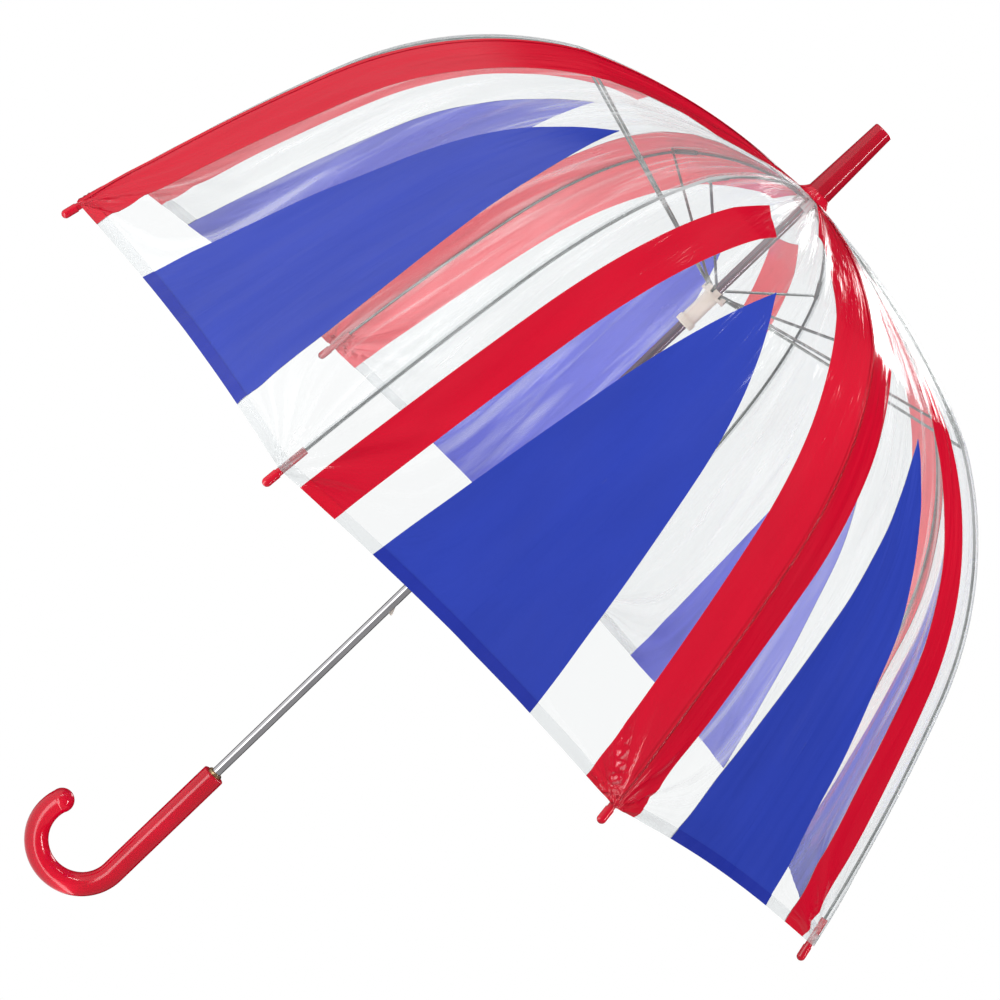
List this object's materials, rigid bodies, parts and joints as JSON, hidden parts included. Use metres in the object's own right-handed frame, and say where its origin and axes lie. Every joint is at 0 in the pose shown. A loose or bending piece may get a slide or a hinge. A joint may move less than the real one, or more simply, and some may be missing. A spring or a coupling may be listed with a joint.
{
  "type": "clear bubble umbrella",
  "caption": "Deep dome umbrella of clear film with red and blue stripes, crook handle, tubular shaft, sliding runner and folding ribs.",
  "frame": {"origin": "middle of the handle's straight grip, on the shaft's axis", "axes": "+Z along the shaft towards the ferrule, -X towards the crook's open end"},
  "size_m": [0.8008, 0.8008, 0.896],
  "materials": {
    "shaft_chrome": "polished chrome plate",
    "handle_red": "gloss moulded",
    "ring_brass": "dull",
    "ferrule_red": "gloss moulded",
    "cap_red": "gloss film",
    "notch_nylon": "moulded nylon",
    "spring_wire": "drawn wire",
    "runner_nylon": "moulded nylon",
    "catch_nylon": "satin",
    "rib_wire": "dark plated wire",
    "tip_red": "gloss moulded",
    "canopy_film": "clear soft film",
    "film_red": "printed soft film",
    "film_blue": "printed soft film"
  },
  "bodies": {
    "root": {"shaft": "shaft_chrome", "handle": "handle_red", "handle_ring": "ring_brass", "ferrule": "ferrule_red", "film_cap": "cap_red", "top_notch": "notch_nylon", "notch_wire": "spring_wire", "panel_1": "canopy_film", "panel_2": "canopy_film", "panel_3": "canopy_film", "panel_4": "canopy_film", "panel_5": "canopy_film", "panel_6": "canopy_film", "panel_7": "canopy_film", "panel_8": "canopy_film"},
    "runner": {"runner": "runner_nylon", "runner_wire": "spring_wire"},
    "top_catch": {"top_catch": "catch_nylon"},
    "bottom_catch": {"bottom_catch": "catch_nylon"},
    "rib_inner_1": {"rib_inner_1": "rib_wire"},
    "rib_middle_1": {"rib_middle_1": "rib_wire"},
    "rib_outer_1": {"rib_outer_1": "rib_wire", "rib_tip_1": "tip_red"},
    "stretcher_1": {"stretcher_1": "rib_wire"},
    "rib_inner_2": {"rib_inner_2": "rib_wire"},
    "rib_middle_2": {"rib_middle_2": "rib_wire"},
    "rib_outer_2": {"rib_outer_2": "rib_wire", "rib_tip_2": "tip_red"},
    "stretcher_2": {"stretcher_2": "rib_wire"},
    "rib_inner_3": {"rib_inner_3": "rib_wire"},
    "rib_middle_3": {"rib_middle_3": "rib_wire"},
    "rib_outer_3": {"rib_outer_3": "rib_wire", "rib_tip_3": "tip_red"},
    "stretcher_3": {"stretcher_3": "rib_wire"},
    "rib_inner_4": {"rib_inner_4": "rib_wire"},
    "rib_middle_4": {"rib_middle_4": "rib_wire"},
    "rib_outer_4": {"rib_outer_4": "rib_wire", "rib_tip_4": "tip_red"},
    "stretcher_4": {"stretcher_4": "rib_wire"},
    "rib_inner_5": {"rib_inner_5": "rib_wire"},
    "rib_middle_5": {"rib_middle_5": "rib_wire"},
    "rib_outer_5": {"rib_outer_5": "rib_wire", "rib_tip_5": "tip_red"},
    "stretcher_5": {"stretcher_5": "rib_wire"},
    "rib_inner_6": {"rib_inner_6": "rib_wire"},
    "rib_middle_6": {"rib_middle_6": "rib_wire"},
    "rib_outer_6": {"rib_outer_6": "rib_wire", "rib_tip_6": "tip_red"},
    "stretcher_6": {"stretcher_6": "rib_wire"},
    "rib_inner_7": {"rib_inner_7": "rib_wire"},
    "rib_middle_7": {"rib_middle_7": "rib_wire"},
    "rib_outer_7": {"rib_outer_7": "rib_wire", "rib_tip_7": "tip_red"},
    "stretcher_7": {"stretcher_7": "rib_wire"},
    "rib_inner_8": {"rib_inner_8": "rib_wire"},
    "rib_middle_8": {"rib_middle_8": "rib_wire"},
    "rib_outer_8": {"rib_outer_8": "rib_wire", "rib_tip_8": "tip_red"},
    "stretcher_8": {"stretcher_8": "rib_wire"}
  },
  "joints": [
    {"name": "runner_slide", "type": "slide", "parent": "root", "child": "runner", "axis": [0, 0, -1], "range_m": [0, 0.345], "deforming": ["panel_1", "panel_2", "panel_3", "panel_4", "panel_5", "panel_6", "panel_7", "panel_8"]},
    {"name": "rib_pivot_1", "type": "hinge", "parent": "root", "child": "rib_inner_1", "pos_m": [-0.00728, -0.00332, 0.712], "axis": [0.4147, -0.91, 0], "range_deg": [0, 76.78]},
    {"name": "rib_elbow_1", "type": "hinge", "parent": "rib_inner_1", "child": "rib_middle_1", "pos_m": [-0.20472, -0.0933, 0.66598], "axis": [-0.4147, 0.91, 0], "range_deg": [0, 37.72]},
    {"name": "rib_bend_1", "type": "hinge", "parent": "rib_middle_1", "child": "rib_outer_1", "pos_m": [-0.32486, -0.14805, 0.51598], "axis": [-0.4147, 0.91, 0], "range_deg": [0, 21.52]},
    {"name": "stretcher_pivot_1", "type": "hinge", "parent": "runner", "child": "stretcher_1", "pos_m": [-0.00728, -0.00332, 0.61201], "axis": [-0.4147, 0.91, 0], "range_deg": [0, 74.8]},
    {"name": "rib_pivot_2", "type": "hinge", "parent": "root", "child": "rib_inner_2", "pos_m": [-0.0028, -0.00749, 0.712], "axis": [0.9367, -0.3502, 0], "range_deg": [0, 76.78]},
    {"name": "rib_elbow_2", "type": "hinge", "parent": "rib_inner_2", "child": "rib_middle_2", "pos_m": [-0.07879, -0.21074, 0.66598], "axis": [-0.9367, 0.3502, 0], "range_deg": [0, 37.72]},
    {"name": "rib_bend_2", "type": "hinge", "parent": "rib_middle_2", "child": "rib_outer_2", "pos_m": [-0.12503, -0.3344, 0.51598], "axis": [-0.9367, 0.3502, 0], "range_deg": [0, 21.52]},
    {"name": "stretcher_pivot_2", "type": "hinge", "parent": "runner", "child": "stretcher_2", "pos_m": [-0.0028, -0.00749, 0.61201], "axis": [-0.9367, 0.3502, 0], "range_deg": [0, 74.8]},
    {"name": "rib_pivot_3", "type": "hinge", "parent": "root", "child": "rib_inner_3", "pos_m": [0.00332, -0.00728, 0.712], "axis": [0.91, 0.4147, 0], "range_deg": [0, 76.78]},
    {"name": "rib_elbow_3", "type": "hinge", "parent": "rib_inner_3", "child": "rib_middle_3", "pos_m": [0.0933, -0.20472, 0.66598], "axis": [-0.91, -0.4147, 0], "range_deg": [0, 37.72]},
    {"name": "rib_bend_3", "type": "hinge", "parent": "rib_middle_3", "child": "rib_outer_3", "pos_m": [0.14805, -0.32486, 0.51598], "axis": [-0.91, -0.4147, 0], "range_deg": [0, 21.52]},
    {"name": "stretcher_pivot_3", "type": "hinge", "parent": "runner", "child": "stretcher_3", "pos_m": [0.00332, -0.00728, 0.61201], "axis": [-0.91, -0.4147, 0], "range_deg": [0, 74.8]},
    {"name": "rib_pivot_4", "type": "hinge", "parent": "root", "child": "rib_inner_4", "pos_m": [0.00749, -0.0028, 0.712], "axis": [0.3502, 0.9367, 0], "range_deg": [0, 76.78]},
    {"name": "rib_elbow_4", "type": "hinge", "parent": "rib_inner_4", "child": "rib_middle_4", "pos_m": [0.21074, -0.07879, 0.66598], "axis": [-0.3502, -0.9367, 0], "range_deg": [0, 37.72]},
    {"name": "rib_bend_4", "type": "hinge", "parent": "rib_middle_4", "child": "rib_outer_4", "pos_m": [0.3344, -0.12503, 0.51598], "axis": [-0.3502, -0.9367, 0], "range_deg": [0, 21.52]},
    {"name": "stretcher_pivot_4", "type": "hinge", "parent": "runner", "child": "stretcher_4", "pos_m": [0.00749, -0.0028, 0.61201], "axis": [-0.3502, -0.9367, 0], "range_deg": [0, 74.8]},
    {"name": "rib_pivot_5", "type": "hinge", "parent": "root", "child": "rib_inner_5", "pos_m": [0.00728, 0.00332, 0.712], "axis": [-0.4147, 0.91, 0], "range_deg": [0, 76.78]},
    {"name": "rib_elbow_5", "type": "hinge", "parent": "rib_inner_5", "child": "rib_middle_5", "pos_m": [0.20472, 0.0933, 0.66598], "axis": [0.4147, -0.91, 0], "range_deg": [0, 37.72]},
    {"name": "rib_bend_5", "type": "hinge", "parent": "rib_middle_5", "child": "rib_outer_5", "pos_m": [0.32486, 0.14805, 0.51598], "axis": [0.4147, -0.91, 0], "range_deg": [0, 21.52]},
    {"name": "stretcher_pivot_5", "type": "hinge", "parent": "runner", "child": "stretcher_5", "pos_m": [0.00728, 0.00332, 0.61201], "axis": [0.4147, -0.91, 0], "range_deg": [0, 74.8]},
    {"name": "rib_pivot_6", "type": "hinge", "parent": "root", "child": "rib_inner_6", "pos_m": [0.0028, 0.00749, 0.712], "axis": [-0.9367, 0.3502, 0], "range_deg": [0, 76.78]},
    {"name": "rib_elbow_6", "type": "hinge", "parent": "rib_inner_6", "child": "rib_middle_6", "pos_m": [0.07879, 0.21074, 0.66598], "axis": [0.9367, -0.3502, 0], "range_deg": [0, 37.72]},
    {"name": "rib_bend_6", "type": "hinge", "parent": "rib_middle_6", "child": "rib_outer_6", "pos_m": [0.12503, 0.3344, 0.51598], "axis": [0.9367, -0.3502, 0], "range_deg": [0, 21.52]},
    {"name": "stretcher_pivot_6", "type": "hinge", "parent": "runner", "child": "stretcher_6", "pos_m": [0.0028, 0.00749, 0.61201], "axis": [0.9367, -0.3502, 0], "range_deg": [0, 74.8]},
    {"name": "rib_pivot_7", "type": "hinge", "parent": "root", "child": "rib_inner_7", "pos_m": [-0.00332, 0.00728, 0.712], "axis": [-0.91, -0.4147, 0], "range_deg": [0, 76.78]},
    {"name": "rib_elbow_7", "type": "hinge", "parent": "rib_inner_7", "child": "rib_middle_7", "pos_m": [-0.0933, 0.20472, 0.66598], "axis": [0.91, 0.4147, 0], "range_deg": [0, 37.72]},
    {"name": "rib_bend_7", "type": "hinge", "parent": "rib_middle_7", "child": "rib_outer_7", "pos_m": [-0.14805, 0.32486, 0.51598], "axis": [0.91, 0.4147, 0], "range_deg": [0, 21.52]},
    {"name": "stretcher_pivot_7", "type": "hinge", "parent": "runner", "child": "stretcher_7", "pos_m": [-0.00332, 0.00728, 0.61201], "axis": [0.91, 0.4147, 0], "range_deg": [0, 74.8]},
    {"name": "rib_pivot_8", "type": "hinge", "parent": "root", "child": "rib_inner_8", "pos_m": [-0.00749, 0.0028, 0.712], "axis": [-0.3502, -0.9367, 0], "range_deg": [0, 76.78]},
    {"name": "rib_elbow_8", "type": "hinge", "parent": "rib_inner_8", "child": "rib_middle_8", "pos_m": [-0.21074, 0.07879, 0.66598], "axis": [0.3502, 0.9367, 0], "range_deg": [0, 37.72]},
    {"name": "rib_bend_8", "type": "hinge", "parent": "rib_middle_8", "child": "rib_outer_8", "pos_m": [-0.3344, 0.12503, 0.51598], "axis": [0.3502, 0.9367, 0], "range_deg": [0, 21.52]},
    {"name": "stretcher_pivot_8", "type": "hinge", "parent": "runner", "child": "stretcher_8", "pos_m": [-0.00749, 0.0028, 0.61201], "axis": [0.3502, 0.9367, 0], "range_deg": [0, 74.8]},
    {"name": "top_catch_press", "type": "hinge", "parent": "root", "child": "top_catch", "pos_m": [0.00245, 0, 0.57601], "axis": [0, -1, 0], "range_deg": [0, 5], "stiffness_Nm_per_rad": 0.4},
    {"name": "bottom_catch_press", "type": "hinge", "parent": "root", "child": "bottom_catch", "pos_m": [0.00245, 0, 0.27701], "axis": [0, 1, 0], "range_deg": [0, 5], "stiffness_Nm_per_rad": 0.4}
  ],
  "couplings": [
    {"joint": "rib_pivot_1", "follows": "runner_slide", "rad_per_m": 3.882},
    {"joint": "rib_elbow_1", "follows": "runner_slide", "rad_per_m": 1.9059},
    {"joint": "rib_bend_1", "follows": "runner_slide", "rad_per_m": 1.0864},
    {"joint": "stretcher_pivot_1", "follows": "runner_slide", "rad_per_m": 3.7816},
    {"joint": "rib_pivot_2", "follows": "runner_slide", "rad_per_m": 3.882},
    {"joint": "rib_elbow_2", "follows": "runner_slide", "rad_per_m": 1.9059},
    {"joint": "rib_bend_2", "follows": "runner_slide", "rad_per_m": 1.0864},
    {"joint": "stretcher_pivot_2", "follows": "runner_slide", "rad_per_m": 3.7816},
    {"joint": "rib_pivot_3", "follows": "runner_slide", "rad_per_m": 3.882},
    {"joint": "rib_elbow_3", "follows": "runner_slide", "rad_per_m": 1.9059},
    {"joint": "rib_bend_3", "follows": "runner_slide", "rad_per_m": 1.0864},
    {"joint": "stretcher_pivot_3", "follows": "runner_slide", "rad_per_m": 3.7816},
    {"joint": "rib_pivot_4", "follows": "runner_slide", "rad_per_m": 3.882},
    {"joint": "rib_elbow_4", "follows": "runner_slide", "rad_per_m": 1.9059},
    {"joint": "rib_bend_4", "follows": "runner_slide", "rad_per_m": 1.0864},
    {"joint": "stretcher_pivot_4", "follows": "runner_slide", "rad_per_m": 3.7816},
    {"joint": "rib_pivot_5", "follows": "runner_slide", "rad_per_m": 3.882},
    {"joint": "rib_elbow_5", "follows": "runner_slide", "rad_per_m": 1.9059},
    {"joint": "rib_bend_5", "follows": "runner_slide", "rad_per_m": 1.0864},
    {"joint": "stretcher_pivot_5", "follows": "runner_slide", "rad_per_m": 3.7816},
    {"joint": "rib_pivot_6", "follows": "runner_slide", "rad_per_m": 3.882},
    {"joint": "rib_elbow_6", "follows": "runner_slide", "rad_per_m": 1.9059},
    {"joint": "rib_bend_6", "follows": "runner_slide", "rad_per_m": 1.0864},
    {"joint": "stretcher_pivot_6", "follows": "runner_slide", "rad_per_m": 3.7816},
    {"joint": "rib_pivot_7", "follows": "runner_slide", "rad_per_m": 3.882},
    {"joint": "rib_elbow_7", "follows": "runner_slide", "rad_per_m": 1.9059},
    {"joint": "rib_bend_7", "follows": "runner_slide", "rad_per_m": 1.0864},
    {"joint": "stretcher_pivot_7", "follows": "runner_slide", "rad_per_m": 3.7816},
    {"joint": "rib_pivot_8", "follows": "runner_slide", "rad_per_m": 3.882},
    {"joint": "rib_elbow_8", "follows": "runner_slide", "rad_per_m": 1.9059},
    {"joint": "rib_bend_8", "follows": "runner_slide", "rad_per_m": 1.0864},
    {"joint": "stretcher_pivot_8", "follows": "runner_slide", "rad_per_m": 3.7816}
  ]
}
